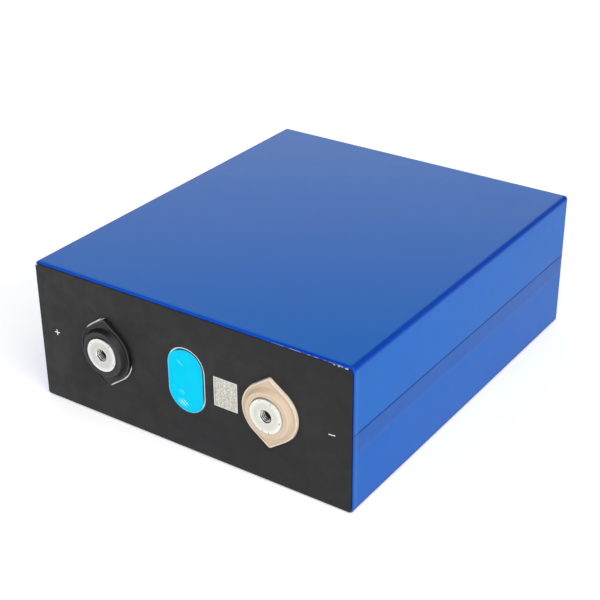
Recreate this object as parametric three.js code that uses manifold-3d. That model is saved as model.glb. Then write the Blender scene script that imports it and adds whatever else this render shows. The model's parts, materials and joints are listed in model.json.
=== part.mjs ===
// A large prismatic lithium iron phosphate battery cell, as a three.js scene graph.
//
// The cell is drawn upright in its own frame: x across the width, y through the thickness, z up
// from the bottom of the can to the terminals. The exported group lays it on its wide face, with
// the terminals towards -Y and the middle of its footprint at the origin. Millimetres throughout.
//
// From the outside in: a wrap of blue film, a bare aluminium can closed by a cover plate, and two
// wound electrode cores in a plastic bag. Each terminal runs through the cover in a stack of an
// outer insulator, a seal ring and an inner insulator down to a collector plate, which the cores'
// foil tabs are welded to.

import * as THREE from "three";
import { mergeVertices } from "three/addons/utils/BufferGeometryUtils.js";
import Module from "manifold-3d";

const wasm = await Module();
wasm.setup();

// ---- driving dimensions ---------------------------------------------------------------------

const HEIGHT = 207.2; // over the terminals
const BODY_HEIGHT = 203.0; // to the face of the top sheet
const WIDTH = 173.5; // over the wrap, clear of its side seams
const THICKNESS = 71.7; // over the wrap
const EDGE_RADIUS = 1.8; // the long edges, outside the wrap
const GAP = 0.1; // between layers that lie on each other
const FIT = 0.3; // round a piece that sits in a seat

const FILM = 0.2; // the wrap's thickness
const PAD = 0.2; // the pad under the can
const WALL = 0.8; // the can's wall
const CAN_FLOOR = 1.5;
const COVER = 3.0; // the cover plate's thickness
const SHEET = 0.3; // the black sheet on the cover

const FACE_Y = 0.7; // how far the terminals and the vent lie off the middle plane
const TERMINAL_X = 45.8; // each terminal's distance from the middle
const TERMINAL_RADIUS = 8.35;
const THREAD_RADIUS = 3; // M6, drawn at the thread's outer diameter
const THREAD_DEPTH = 6;
const STEM_RADIUS = 4.8;

const CORE_THICKNESS = 33.2;
const CORE_WIDTH = 168;
const CORE_HEIGHT = 183;
const CORE_Y = 17; // each wound core's distance from the middle plane

// Heights of the layers, worked up from the bottom.
const PAD_Z = FILM + GAP;
const CAN_Z = PAD_Z + PAD + GAP;
const CAN_FLOOR_Z = CAN_Z + CAN_FLOOR;
const SHEET_Z = BODY_HEIGHT - SHEET;
const FILM_TOP_Z = SHEET_Z - GAP;
const RIM_Z = FILM_TOP_Z - FILM - GAP; // the can's rim and the cover's face
const COVER_Z = RIM_Z - COVER;
const BAG_Z = CAN_FLOOR_Z + FIT;
const SUPPORT_Z = BAG_Z + FILM + FIT;
const SUPPORT = 1.0;
const CORE_Z = SUPPORT_Z + SUPPORT + FIT;
const CORE_TOP_Z = CORE_Z + CORE_HEIGHT;

// ---- outlines -------------------------------------------------------------------------------

const CORNER_STEPS = 4;
const ROUND_STEPS = 24;

// Points of a circle's arc, angles in degrees, both ends included.
function arc(centreX, centreY, radius, from, to, steps) {
  const points = [];
  for (let i = 0; i <= steps; i++) {
    const angle = THREE.MathUtils.degToRad(from + ((to - from) * i) / steps);
    points.push(
      new THREE.Vector2(centreX + radius * Math.cos(angle), centreY + radius * Math.sin(angle)),
    );
  }
  return points;
}

function roundedRectangle(width, height, radius) {
  const x = width / 2 - radius;
  const y = height / 2 - radius;
  return [
    ...arc(x, y, radius, 0, 90, CORNER_STEPS),
    ...arc(-x, y, radius, 90, 180, CORNER_STEPS),
    ...arc(-x, -y, radius, 180, 270, CORNER_STEPS),
    ...arc(x, -y, radius, 270, 360, CORNER_STEPS),
  ];
}

// The cell's own outline, drawn in from the wrap's outer face.
function cellOutline(inset) {
  const radius = Math.max(EDGE_RADIUS - inset, 0.4);
  return roundedRectangle(WIDTH - 2 * inset, THICKNESS - 2 * inset, radius);
}

// Two half circles joined by straight sides, long way along x or along y.
function stadium(width, height, steps = ROUND_STEPS / 2) {
  if (width > height) {
    const x = (width - height) / 2;
    return [
      ...arc(x, 0, height / 2, -90, 90, steps),
      ...arc(-x, 0, height / 2, 90, 270, steps),
    ];
  }
  const y = (height - width) / 2;
  return [...arc(0, y, width / 2, 0, 180, steps), ...arc(0, -y, width / 2, 180, 360, steps)];
}

function circle(radius, steps = ROUND_STEPS) {
  return arc(0, 0, radius, 0, 360, steps).slice(0, -1);
}

// A round plate with one rounded point up and one down. Each straight side is tangent to the
// circle and to the small circle that rounds the point.
const LEAF_RADIUS = 14.2;
const LEAF_TIP = 17.2;
const LEAF_TIP_ROUND = 1.2;

function leaf(inset = 0, tip = LEAF_TIP) {
  const radius = LEAF_RADIUS - inset;
  const point = LEAF_TIP_ROUND - Math.min(inset, 0.8);
  const pointY = tip - inset - point;
  const side = THREE.MathUtils.radToDeg(Math.acos((radius - point) / pointY));
  const belly = arc(0, 0, radius, side - 90, 90 - side, 10);
  const upper = arc(0, pointY, point, 90 - side, 90 + side, 2);
  const half = [...belly, ...between(belly.at(-1), upper[0], 3), ...upper];
  const mirror = half.map((p) => p.clone().negate());
  const join = between(half.at(-1), mirror[0], 3);
  return [...half, ...join, ...mirror, ...join.map((p) => p.clone().negate())];
}

// Points that divide a straight line into equal steps, without its ends.
function between(from, to, steps) {
  const points = [];
  for (let i = 1; i < steps; i++) {
    points.push(from.clone().lerp(to, i / steps));
  }
  return points;
}

// A circle with as many points, at the same angles, as another outline.
function circleLike(outline, radius) {
  return outline.map((p) => p.clone().setLength(radius));
}

function moved(outline, x, y, turn = 0) {
  const angle = THREE.MathUtils.degToRad(turn);
  const centre = new THREE.Vector2();
  return outline.map((p) => p.clone().rotateAround(centre, angle).add(new THREE.Vector2(x, y)));
}

// ---- solids ---------------------------------------------------------------------------------

function ring(outline, z) {
  return outline.map((p) => new THREE.Vector3(p.x, p.y, z));
}

// A closed skin over rings with equal numbers of points. The first and last rings are capped, or
// joined to each other when looped.
function loft(rings, looped = false) {
  const n = rings[0].length;
  const index = [];
  const spans = looped ? rings.length : rings.length - 1;
  for (let i = 0; i < spans; i++) {
    const low = i * n;
    const high = ((i + 1) % rings.length) * n;
    for (let j = 0; j < n; j++) {
      const k = (j + 1) % n;
      index.push(low + j, low + k, high + k, low + j, high + k, high + j);
    }
  }
  if (!looped) {
    const last = (rings.length - 1) * n;
    for (const [a, b, c] of THREE.ShapeUtils.triangulateShape([...rings[0]], [])) {
      index.push(c, b, a);
    }
    for (const [a, b, c] of THREE.ShapeUtils.triangulateShape([...rings.at(-1)], [])) {
      index.push(last + a, last + b, last + c);
    }
  }
  const geometry = new THREE.BufferGeometry();
  const positions = rings.flat().flatMap((p) => p.toArray());
  geometry.setAttribute("position", new THREE.Float32BufferAttribute(positions, 3));
  geometry.setIndex(index);
  geometry.computeVertexNormals();
  return geometry;
}

// A loft of the cell's outline through [inset, z] pairs.
function cellLoft(profile) {
  return loft(profile.map(([inset, z]) => ring(cellOutline(inset), z)));
}

// A flat plate with holes through it.
function plate(outline, holes, bottom, top) {
  const shape = new THREE.Shape(outline);
  shape.holes = holes.map((hole) => new THREE.Path(hole));
  return new THREE.ExtrudeGeometry(shape, { depth: top - bottom, bevelEnabled: false }).translate(
    0,
    0,
    bottom,
  );
}

// A turned piece about z from [radius, z] pairs, which run up the outside.
function turned(profile, steps = ROUND_STEPS) {
  const points = profile.map(([radius, z]) => new THREE.Vector2(radius, z));
  return new THREE.LatheGeometry(points, steps).rotateX(Math.PI / 2);
}

function solid(geometry) {
  const bare = new THREE.BufferGeometry();
  bare.setAttribute("position", geometry.getAttribute("position"));
  bare.setIndex(geometry.getIndex());
  const merged = mergeVertices(bare, 1e-4);
  return new wasm.Manifold(
    new wasm.Mesh({
      numProp: 3,
      vertProperties: merged.attributes.position.array,
      triVerts: new Uint32Array(merged.index.array),
    }),
  );
}

function geometryOf(manifold) {
  const mesh = manifold.getMesh();
  const geometry = new THREE.BufferGeometry();
  geometry.setAttribute("position", new THREE.BufferAttribute(mesh.vertProperties, 3));
  geometry.setIndex(new THREE.BufferAttribute(mesh.triVerts, 1));
  return geometry;
}

function cut(body, ...tools) {
  return geometryOf(tools.reduce((left, tool) => left.subtract(solid(tool)), solid(body)));
}

function join(...bodies) {
  return geometryOf(bodies.slice(1).reduce((all, body) => all.add(solid(body)), solid(bodies[0])));
}

// ---- materials ------------------------------------------------------------------------------

function finish(color, roughness, metalness = 0, extra = {}) {
  return new THREE.MeshStandardMaterial({ color, roughness, metalness, ...extra });
}

const BLUE_FILM = finish(0x0846a8, 0.3);
const CLEAR_FILM = finish(0xd8e2e6, 0.25, 0, { transparent: true, opacity: 0.5 });
const BLACK_SHEET = finish(0x2e2e30, 0.6);
const CYAN_FILM = finish(0x0dd1f9, 0.2);
const LABEL = finish(0xc2c2b8, 0.6);
const ALUMINIUM = finish(0xd6d7d9, 0.35, 1);
const COPPER = finish(0xc8794f, 0.35, 1);
const BLACK_PLASTIC = finish(0x1f1f21, 0.5);
const TAN_PLASTIC = finish(0xdcc3ad, 0.5);
const WHITE_PLASTIC = finish(0xe9e9e4, 0.5);
const RUBBER = finish(0x26262a, 0.8);
const CORE = finish(0x4a4c50, 0.7);
const GREEN_TAPE = finish(0x2f8f6a, 0.4);

const cell = new THREE.Group();

function add(name, geometry, material, x = 0, y = 0, turn = 0) {
  const mesh = new THREE.Mesh(geometry, material);
  mesh.name = name;
  mesh.position.set(x, y, 0);
  mesh.rotation.z = THREE.MathUtils.degToRad(turn);
  cell.add(mesh);
}

// ---- wrap, pad and can ----------------------------------------------------------------------

const LIP_RADIUS = 0.8; // the wrap turned in over the can's rim
const LIP = 1.2; // how far in the wrap's cut edge lies
const BOTTOM_RADIUS = 1.5;
const SEAM_PROUD = 0.1; // the overlap's second thickness of film
const SEAM_WIDTH = 9.6;
const SEAM_Y = -1.6; // the overlap's middle

// [inset, z] pairs of a quarter circle between two angles in degrees, about a centre.
function bend(inset, z, radius, from, to) {
  return arc(0, 0, radius, from, to, 3).map((p) => [inset - p.x, z + p.y]);
}

function wrapFilm() {
  const shell = cellLoft([
    ...bend(BOTTOM_RADIUS, BOTTOM_RADIUS, BOTTOM_RADIUS, 270, 360),
    ...bend(LIP_RADIUS, FILM_TOP_Z - LIP_RADIUS, LIP_RADIUS, 0, 90),
    [LIP, FILM_TOP_Z],
    [LIP, FILM_TOP_Z - FILM],
    ...bend(LIP_RADIUS, FILM_TOP_Z - LIP_RADIUS, LIP_RADIUS - FILM, 90, 0),
    ...bend(BOTTOM_RADIUS, BOTTOM_RADIUS, BOTTOM_RADIUS - FILM, 360, 270),
  ]);
  const seamDepth = FILM / 2 + SEAM_PROUD;
  const seamHeight = FILM_TOP_Z - LIP_RADIUS - BOTTOM_RADIUS;
  const seams = [-1, 1].map((side) =>
    new THREE.BoxGeometry(seamDepth, SEAM_WIDTH, seamHeight).translate(
      side * (WIDTH / 2 + SEAM_PROUD - seamDepth / 2),
      SEAM_Y,
      BOTTOM_RADIUS + seamHeight / 2,
    ),
  );
  return join(shell, ...seams);
}

function can() {
  const outside = FILM + GAP;
  const inside = outside + WALL;
  const bottomRadius = BOTTOM_RADIUS - outside;
  const rimChamfer = 0.45;
  return cellLoft([
    ...bend(outside + bottomRadius, CAN_Z + bottomRadius, bottomRadius, 270, 360),
    [outside, RIM_Z - rimChamfer],
    [outside + rimChamfer, RIM_Z],
    [inside, RIM_Z],
    [inside, CAN_FLOOR_Z + 0.5],
    [inside + 0.5, CAN_FLOOR_Z],
  ]);
}

const PAD_INSET = 3;
const BAG_INSET = FILM + GAP + WALL + FIT;
const BAG_TOP_Z = CORE_TOP_Z + 3;

function coreBag() {
  return cellLoft([
    [BAG_INSET, BAG_Z],
    [BAG_INSET, BAG_TOP_Z],
    [BAG_INSET + FILM, BAG_TOP_Z],
    [BAG_INSET + FILM, BAG_Z + FILM],
  ]);
}

// The tray under the cores, with drain holes that let the electrolyte through.
function bottomSupport() {
  const holes = [];
  const holeRadius = 4;
  const pitch = 32;
  for (let column = -2; column <= 2; column++) {
    for (const row of [-1, 1]) {
      holes.push(moved(circle(holeRadius, 12), column * pitch, row * CORE_Y));
    }
  }
  return plate(cellOutline(BAG_INSET + FILM + FIT), holes, SUPPORT_Z, SUPPORT_Z + SUPPORT);
}

add("wrap_film", wrapFilm(), BLUE_FILM);
add("bottom_pad", plate(cellOutline(PAD_INSET), [], PAD_Z, PAD_Z + PAD), CLEAR_FILM);
add("can", can(), ALUMINIUM);
add("core_bag", coreBag(), CLEAR_FILM);
add("core_bottom_support", bottomSupport(), WHITE_PLASTIC);

// ---- wound cores and their foil tabs --------------------------------------------------------

const TAPE = 0.15;
const TAPE_WIDTH = 30;
const TAB = 1.0; // a stack of foils pressed together
const TAB_WIDTH = 36;
const TAB_REACH = 10; // how far the stack lies under the collector
const COLLECTOR = 1.2;
const INNER_INSULATOR = 2.0;
const INNER_INSULATOR_Z = COVER_Z - GAP - INNER_INSULATOR;
const POST_FLANGE = 1.2;
const POST_FLANGE_Z = INNER_INSULATOR_Z - GAP - POST_FLANGE;
const COLLECTOR_Z = POST_FLANGE_Z - GAP - COLLECTOR;
const TAB_TOP_Z = COLLECTOR_Z - GAP;

// A wound core: the winding's flattened edges stand a little proud of its rounded shoulders.
function core() {
  const shoulder = 1.5;
  const outline = (inset) => stadium(CORE_WIDTH - 2 * inset, CORE_THICKNESS - 2 * inset);
  return loft([
    ring(outline(shoulder), CORE_Z),
    ring(outline(0), CORE_Z + shoulder),
    ring(outline(0), CORE_TOP_Z - shoulder),
    ring(outline(shoulder), CORE_TOP_Z),
  ]);
}

function coreTape() {
  const band = (offset) => stadium(CORE_WIDTH + 2 * offset, CORE_THICKNESS + 2 * offset);
  const bottom = CORE_Z + (CORE_HEIGHT - TAPE_WIDTH) / 2;
  return plate(band(GAP + TAPE), [band(GAP)], bottom, bottom + TAPE_WIDTH);
}

// A tab stack rises from the middle of its core and bends over, under the collector's pad.
function tabStack(outward) {
  const bendRadius = 2;
  const top = TAB_TOP_Z;
  const outer = arc(bendRadius, top - bendRadius, bendRadius, 180, 90, 6);
  const inner = arc(bendRadius, top - bendRadius, bendRadius - TAB, 90, 180, 6);
  const foot = CORE_TOP_Z + GAP;
  const profile = new THREE.Shape([
    new THREE.Vector2(0, foot),
    ...outer,
    new THREE.Vector2(TAB_REACH, top),
    new THREE.Vector2(TAB_REACH, top - TAB),
    ...inner,
    new THREE.Vector2(TAB, foot),
  ]);
  const strip = new THREE.ExtrudeGeometry(profile, { depth: TAB_WIDTH, bevelEnabled: false });
  strip.translate(-TAB / 2, 0, -TAB_WIDTH / 2).rotateX(Math.PI / 2).rotateZ(Math.PI / 2);
  return outward > 0 ? strip : strip.rotateZ(Math.PI);
}

for (const [letter, side] of [["a", -1], ["b", 1]]) {
  add(`wound_core_${letter}`, core(), CORE, 0, side * CORE_Y);
  add(`core_tape_${letter}`, coreTape(), GREEN_TAPE, 0, side * CORE_Y);
  for (const [pole, x, metal] of [
    ["positive", -TERMINAL_X, ALUMINIUM],
    ["negative", TERMINAL_X, COPPER],
  ]) {
    add(`${pole}_tabs_${letter}`, tabStack(side), metal, x, side * CORE_Y);
  }
}

// ---- cover plate ----------------------------------------------------------------------------

const SEAL_HOLE_RADIUS = 6.5;
const SEAL_FLANGE_RADIUS = 7.8;
const VENT_SEAT = [18.4, 30.4]; // the recess in the cover's face
const VENT_SEAT_DEPTH = 1.8;
const VENT_OPENING = [15.6, 27.6];
const FILL_X = -23.5;
const FILL_BORE_RADIUS = 2.5;
const FILL_SEAT_RADIUS = 4.5;
const FILL_SEAT_DEPTH = 1.0;

function coverPlate() {
  const over = RIM_Z + 1;
  const terminalHoles = [-1, 1].map((side) =>
    moved(circle(SEAL_HOLE_RADIUS), side * TERMINAL_X, FACE_Y),
  );
  const through = [
    ...terminalHoles,
    moved(stadium(...VENT_OPENING), 0, FACE_Y),
    moved(circle(FILL_BORE_RADIUS, 24), FILL_X, FACE_Y),
  ];
  return cut(
    plate(cellOutline(FILM + GAP + WALL + GAP), through, COVER_Z, RIM_Z),
    plate(moved(stadium(...VENT_SEAT), 0, FACE_Y), [], RIM_Z - VENT_SEAT_DEPTH, over),
    plate(moved(circle(FILL_SEAT_RADIUS, 24), FILL_X, FACE_Y), [], RIM_Z - FILL_SEAT_DEPTH, over),
  );
}

const MEMBRANE = 0.4;
const SCORE_DEPTH = 0.2;

// The burst disc: a thin plate that tears along its scored ring.
function ventMembrane() {
  const bottom = RIM_Z - VENT_SEAT_DEPTH + GAP;
  const top = bottom + MEMBRANE;
  const inSeat = ([width, height], inset) => stadium(width - 2 * inset, height - 2 * inset);
  return cut(
    plate(inSeat(VENT_SEAT, GAP), [], bottom, top),
    plate(inSeat(VENT_OPENING, 2), [inSeat(VENT_OPENING, 2.4)], top - SCORE_DEPTH, top + 1),
  );
}

const VENT_FILM = [20.7, 32.9];
const VENT_FILM_DISH = 0.6; // how far the film's middle is pressed into the seat

// The film over the vent: a rim stuck down round the seat, and a middle pressed into it.
function ventFilm() {
  const outline = (inset) => stadium(VENT_FILM[0] - 2 * inset, VENT_FILM[1] - 2 * inset);
  const top = RIM_Z + GAP + FILM;
  const rim = 1.7;
  const slope = 0.6;
  return loft([
    ring(outline(rim + slope), top - FILM - VENT_FILM_DISH),
    ring(outline(rim), top - FILM),
    ring(outline(0), top - FILM),
    ring(outline(0), top),
    ring(outline(rim), top),
    ring(outline(rim + slope), top - VENT_FILM_DISH),
  ]);
}

function fillPlug() {
  const radius = FILL_BORE_RADIUS - GAP;
  return plate(circle(radius, 24), [], COVER_Z + GAP, RIM_Z - FILL_SEAT_DEPTH - GAP);
}

function fillCap() {
  const bottom = RIM_Z - FILL_SEAT_DEPTH + GAP;
  const radius = FILL_SEAT_RADIUS - GAP;
  const edge = 0.3;
  return turned(
    [
      [0, bottom],
      [radius, bottom],
      [radius, RIM_Z - GAP - edge],
      [radius - edge, RIM_Z - GAP],
      [0, RIM_Z - GAP],
    ],
    24,
  );
}

add("cover_plate", coverPlate(), ALUMINIUM);
add("vent_membrane", ventMembrane(), ALUMINIUM, 0, FACE_Y);
add("vent_film", ventFilm(), CYAN_FILM, 0, FACE_Y);
add("fill_port_plug", fillPlug(), RUBBER, FILL_X, FACE_Y);
add("fill_port_cap", fillCap(), ALUMINIUM, FILL_X, FACE_Y);

// ---- top sheet and its window ---------------------------------------------------------------

const SHEET_SIZE = [172.7, 69.9];
const SHEET_CORNER = 1.0;
const SHEET_PLACE = new THREE.Vector2(-0.1, -0.15); // stuck on a little off centre
const LEAF_CLEARANCE = 0.3;
const POSITIVE_LEAF_CLEARANCE = 0.45; // its cut-out is a little larger
const POSITIVE_LEAF_TURN = -1.5; // the outer insulator sits askew in its cut-out, in degrees
const VENT_CUTOUT = [20.9, 33.0];
const VENT_CUTOUT_PLACE = new THREE.Vector2(0.15, FACE_Y + 0.2);
const LABEL_SIZE = [12.8, 14.8];
const LABEL_PLACE = new THREE.Vector2(21.7, 1.0);

function topSheet() {
  const [width, height] = LABEL_SIZE.map((size) => size + 2 * GAP);
  const holes = [
    moved(leaf(-POSITIVE_LEAF_CLEARANCE), -TERMINAL_X, FACE_Y),
    moved(leaf(-LEAF_CLEARANCE), TERMINAL_X, FACE_Y),
    moved(stadium(...VENT_CUTOUT), VENT_CUTOUT_PLACE.x, VENT_CUTOUT_PLACE.y),
    moved(roundedRectangle(width, height, 0.3), LABEL_PLACE.x, LABEL_PLACE.y),
  ];
  const edge = roundedRectangle(...SHEET_SIZE, SHEET_CORNER);
  return plate(moved(edge, SHEET_PLACE.x, SHEET_PLACE.y), holes, SHEET_Z, BODY_HEIGHT);
}

add("top_sheet", topSheet(), BLACK_SHEET);
add(
  "marking_label",
  plate(roundedRectangle(...LABEL_SIZE, 0.2), [], RIM_Z + GAP, BODY_HEIGHT - GAP),
  LABEL,
  LABEL_PLACE.x,
  LABEL_PLACE.y,
);

// ---- terminals ------------------------------------------------------------------------------

const LEAF_Z = RIM_Z + 2 * GAP;
const LEAF_TOP_Z = BODY_HEIGHT + 1.2;
const LEAF_RIM = 0.7; // width of the low ridge round the leaf
const LEAF_RIM_HEIGHT = 0.3;
const BOSS_BASE_RADIUS = 12.3;
const BOSS_TOP_RADIUS = 11.0;
const BOSS_TOP_Z = HEIGHT - 0.6;
const CUP_FLOOR_Z = RIM_Z + 1.0;

// The outer insulator: a pointed flange on the cover, and a round boss that holds the terminal.
function outerInsulator() {
  const edge = leaf();
  const hole = circleLike(edge, STEM_RADIUS + FIT);
  const cup = circleLike(edge, TERMINAL_RADIUS + FIT);
  const ridge = LEAF_TOP_Z + LEAF_RIM_HEIGHT;
  return loft(
    [
      ring(hole, LEAF_Z),
      ring(edge, LEAF_Z),
      ring(edge, ridge - 0.2),
      ring(leaf(0.2), ridge),
      ring(leaf(LEAF_RIM), ridge),
      ring(leaf(LEAF_RIM + 0.2), LEAF_TOP_Z),
      ring(circleLike(edge, BOSS_BASE_RADIUS), LEAF_TOP_Z),
      ring(circleLike(edge, BOSS_TOP_RADIUS), BOSS_TOP_Z - 0.4),
      ring(circleLike(edge, BOSS_TOP_RADIUS - 0.4), BOSS_TOP_Z),
      ring(cup, BOSS_TOP_Z),
      ring(cup, CUP_FLOOR_Z),
      ring(hole, CUP_FLOOR_Z),
    ],
    true,
  );
}

const WELD_Z = POST_FLANGE_Z + POST_FLANGE + GAP; // where the stem meets its base

// The terminal: a round head with a blind tapped hole, on a stem that goes through the cover.
function terminal() {
  const headZ = CUP_FLOOR_Z + 2 * GAP;
  const edge = 0.35;
  const mouth = THREAD_RADIUS + 0.9;
  return turned([
    [0, WELD_Z],
    [STEM_RADIUS, WELD_Z],
    [STEM_RADIUS, headZ],
    [TERMINAL_RADIUS, headZ],
    [TERMINAL_RADIUS, HEIGHT - edge],
    [TERMINAL_RADIUS - edge, HEIGHT],
    [mouth, HEIGHT],
    [THREAD_RADIUS, HEIGHT - 0.9],
    [THREAD_RADIUS, HEIGHT - THREAD_DEPTH],
    [0, HEIGHT - THREAD_DEPTH - 1],
  ]);
}

const POST_FLANGE_RADIUS = 8;
const SPIGOT_RADIUS = 3;

// The stem's base under the inner insulator, with the spigot that the collector is welded to.
function postBase() {
  return turned([
    [0, COLLECTOR_Z],
    [SPIGOT_RADIUS, COLLECTOR_Z],
    [SPIGOT_RADIUS, POST_FLANGE_Z],
    [POST_FLANGE_RADIUS, POST_FLANGE_Z],
    [POST_FLANGE_RADIUS, POST_FLANGE_Z + POST_FLANGE],
    [0, POST_FLANGE_Z + POST_FLANGE],
  ]);
}

// The seal: a sleeve in the cover's hole, with a flange pressed between cover and base.
function sealRing() {
  const inner = STEM_RADIUS + 0.2;
  const sleeve = SEAL_HOLE_RADIUS - 0.2;
  const bottom = WELD_Z + GAP;
  return turned([
    [inner, bottom],
    [SEAL_FLANGE_RADIUS, bottom],
    [SEAL_FLANGE_RADIUS, COVER_Z - GAP],
    [sleeve, COVER_Z - GAP],
    [sleeve, RIM_Z],
    [inner, RIM_Z],
    [inner, bottom],
  ]);
}

// The inner insulator: a slotted plate that keeps the collector off the cover.
function innerInsulator() {
  const width = 58;
  const depth = 62;
  const slots = [];
  for (const column of [-1, 1]) {
    for (const row of [-1, 1]) {
      slots.push(moved(stadium(4, 16, 4), column * 22, row * 16));
    }
  }
  const hole = circle(SEAL_FLANGE_RADIUS + 0.2);
  const bottom = INNER_INSULATOR_Z;
  return plate(roundedRectangle(width, depth, 4), [hole, ...slots], bottom, bottom + INNER_INSULATOR);
}

// The collector: two weld pads, one over each core's tabs, on a waisted bridge.
function collector() {
  const padX = TAB_WIDTH / 2 + 1;
  const padY = 28.5;
  const waistX = 12;
  const waistY = 14;
  const corner = (x, y) => new THREE.Vector2(x, y);
  const outline = [
    corner(padX, -padY),
    corner(padX, -waistY),
    corner(waistX, -waistY + 4),
    corner(waistX, waistY - 4),
    corner(padX, waistY),
    corner(padX, padY),
    corner(-padX, padY),
    corner(-padX, waistY),
    corner(-waistX, waistY - 4),
    corner(-waistX, -waistY + 4),
    corner(-padX, -waistY),
    corner(-padX, -padY),
  ];
  const hole = circle(SPIGOT_RADIUS + 0.2, 24);
  return plate(outline, [hole], COLLECTOR_Z, COLLECTOR_Z + COLLECTOR);
}

// Tape over the welds, on top of the collector and round the base's flange.
function weldTape() {
  const thickness = 0.15;
  const bottom = COLLECTOR_Z + COLLECTOR + GAP;
  const hole = circle(POST_FLANGE_RADIUS + FIT);
  return plate(roundedRectangle(40, 60, 2), [hole], bottom, bottom + thickness);
}

for (const [pole, x, plastic, metal, turn] of [
  ["positive", -TERMINAL_X, BLACK_PLASTIC, ALUMINIUM, POSITIVE_LEAF_TURN],
  ["negative", TERMINAL_X, TAN_PLASTIC, COPPER, 0],
]) {
  add(`${pole}_outer_insulator`, outerInsulator(), plastic, x, FACE_Y, turn);
  add(`${pole}_terminal`, terminal(), ALUMINIUM, x, FACE_Y);
  add(`${pole}_seal_ring`, sealRing(), RUBBER, x, FACE_Y);
  add(`${pole}_inner_insulator`, innerInsulator(), WHITE_PLASTIC, x, FACE_Y);
  add(`${pole}_post_base`, postBase(), metal, x, FACE_Y);
  add(`${pole}_collector`, collector(), metal, x, FACE_Y);
  add(`${pole}_weld_tape`, weldTape(), GREEN_TAPE, x, FACE_Y);
}

// The cell lies on its wide face, terminals towards -Y, centred over the origin.
cell.rotation.x = Math.PI / 2;
cell.position.set(0, HEIGHT / 2, THICKNESS / 2);

const model = new THREE.Group();
model.add(cell);

export default model;
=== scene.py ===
"""A prismatic battery cell lying on its wide face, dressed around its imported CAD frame.

Pieces are drawn upright in millimetres, as the cell stands in use: x across the width, y through
the thickness and z up from the bottom of the can to the terminals. LAY_DOWN then takes them into
the frame, in metres, with the terminals towards -Y.
"""

import json
import math

import bmesh
import bpy
import numpy as np
from mathutils import Matrix, Vector, noise


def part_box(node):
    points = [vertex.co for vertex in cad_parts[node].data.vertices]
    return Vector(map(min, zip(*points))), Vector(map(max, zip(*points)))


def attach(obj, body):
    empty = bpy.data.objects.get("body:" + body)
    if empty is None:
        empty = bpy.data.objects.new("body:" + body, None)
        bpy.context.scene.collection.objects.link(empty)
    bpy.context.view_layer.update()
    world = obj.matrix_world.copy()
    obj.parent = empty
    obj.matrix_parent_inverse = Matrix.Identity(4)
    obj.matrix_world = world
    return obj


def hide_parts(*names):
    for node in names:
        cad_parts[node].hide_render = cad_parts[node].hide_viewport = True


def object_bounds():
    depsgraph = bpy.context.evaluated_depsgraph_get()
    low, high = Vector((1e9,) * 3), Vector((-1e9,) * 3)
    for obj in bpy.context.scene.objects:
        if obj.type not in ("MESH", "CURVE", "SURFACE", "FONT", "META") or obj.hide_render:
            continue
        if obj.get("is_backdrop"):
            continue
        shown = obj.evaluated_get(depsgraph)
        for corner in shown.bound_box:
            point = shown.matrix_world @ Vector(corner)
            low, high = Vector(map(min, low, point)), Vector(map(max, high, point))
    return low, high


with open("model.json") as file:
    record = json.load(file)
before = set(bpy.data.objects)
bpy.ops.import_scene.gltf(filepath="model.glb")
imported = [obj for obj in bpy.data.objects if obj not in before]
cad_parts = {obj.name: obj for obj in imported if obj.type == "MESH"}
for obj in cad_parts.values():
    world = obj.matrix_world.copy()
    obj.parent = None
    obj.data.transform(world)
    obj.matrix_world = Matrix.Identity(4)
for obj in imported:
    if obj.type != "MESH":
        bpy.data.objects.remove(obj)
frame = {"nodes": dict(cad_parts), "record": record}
CAD_LOW, CAD_HIGH = (Vector(corner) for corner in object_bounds())

MM = 0.001
MIDDLE = (CAD_LOW.z + CAD_HIGH.z) / 2
LAY_DOWN = (
    Matrix.Translation((0, CAD_HIGH.y, MIDDLE))
    @ Matrix.Rotation(math.pi / 2, 4, "X")
    @ Matrix.Scale(MM, 4)
)


def upright_box(node):
    """A CAD node's lowest and highest corners, in the upright frame in millimetres."""
    corners = [LAY_DOWN.inverted() @ Vector(corner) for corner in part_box(node)]
    low = Vector(min(a, b) for a, b in zip(*corners))
    high = Vector(max(a, b) for a, b in zip(*corners))
    return low, high


# ---- sizes, in millimetres, from the frame's boxes where it has them ------------------------

FILM_LOW, FILM_HIGH = upright_box("wrap_film")
SEAM_PROUD = 0.1  # the overlap's second thickness of film
WIDTH = FILM_HIGH.x - FILM_LOW.x - 2 * SEAM_PROUD
THICKNESS = FILM_HIGH.y - FILM_LOW.y
EDGE_RADIUS = 1.8
FILM = 0.2
FILM_TOP = FILM_HIGH.z
LIP = 1.2  # how far in the wrap's cut edge lies
LIP_RADIUS = 0.8
LIP_Y = CAD_HIGH.y - (FILM_TOP - LIP_RADIUS) * MM  # where the wrap turns in, in the frame
BOTTOM_RADIUS = 1.5
SEAM_LOW = -6.4  # the overlap's hidden edge and its cut edge, along y
SEAM_HIGH = 3.2

HEAD_LOW, HEAD_HIGH = upright_box("positive_terminal")
HEIGHT = HEAD_HIGH.z
TERMINAL_RADIUS = (HEAD_HIGH.x - HEAD_LOW.x) / 2
TERMINAL_X = upright_box("negative_terminal")[1].x - TERMINAL_RADIUS
FACE_Y = (HEAD_LOW.y + HEAD_HIGH.y) / 2  # the terminals' distance from the middle plane

SHEET_LOW, SHEET_HIGH = upright_box("top_sheet")
PATCH_LOW, PATCH_HIGH = upright_box("marking_label")
RIM = upright_box("cover_plate")[1].z  # the cover's face


def frame_z(y):
    """A place through the upright cell's thickness, as a height in the frame, in metres."""
    return MIDDLE + y * MM


# ---- outlines -------------------------------------------------------------------------------


def arc(centre, radius, start, end, steps):
    """Points of a circle's arc, angles in degrees, both ends included."""
    angles = np.radians(np.linspace(start, end, steps + 1))
    return np.array(centre) + radius * np.stack([np.cos(angles), np.sin(angles)], axis=1)


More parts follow.
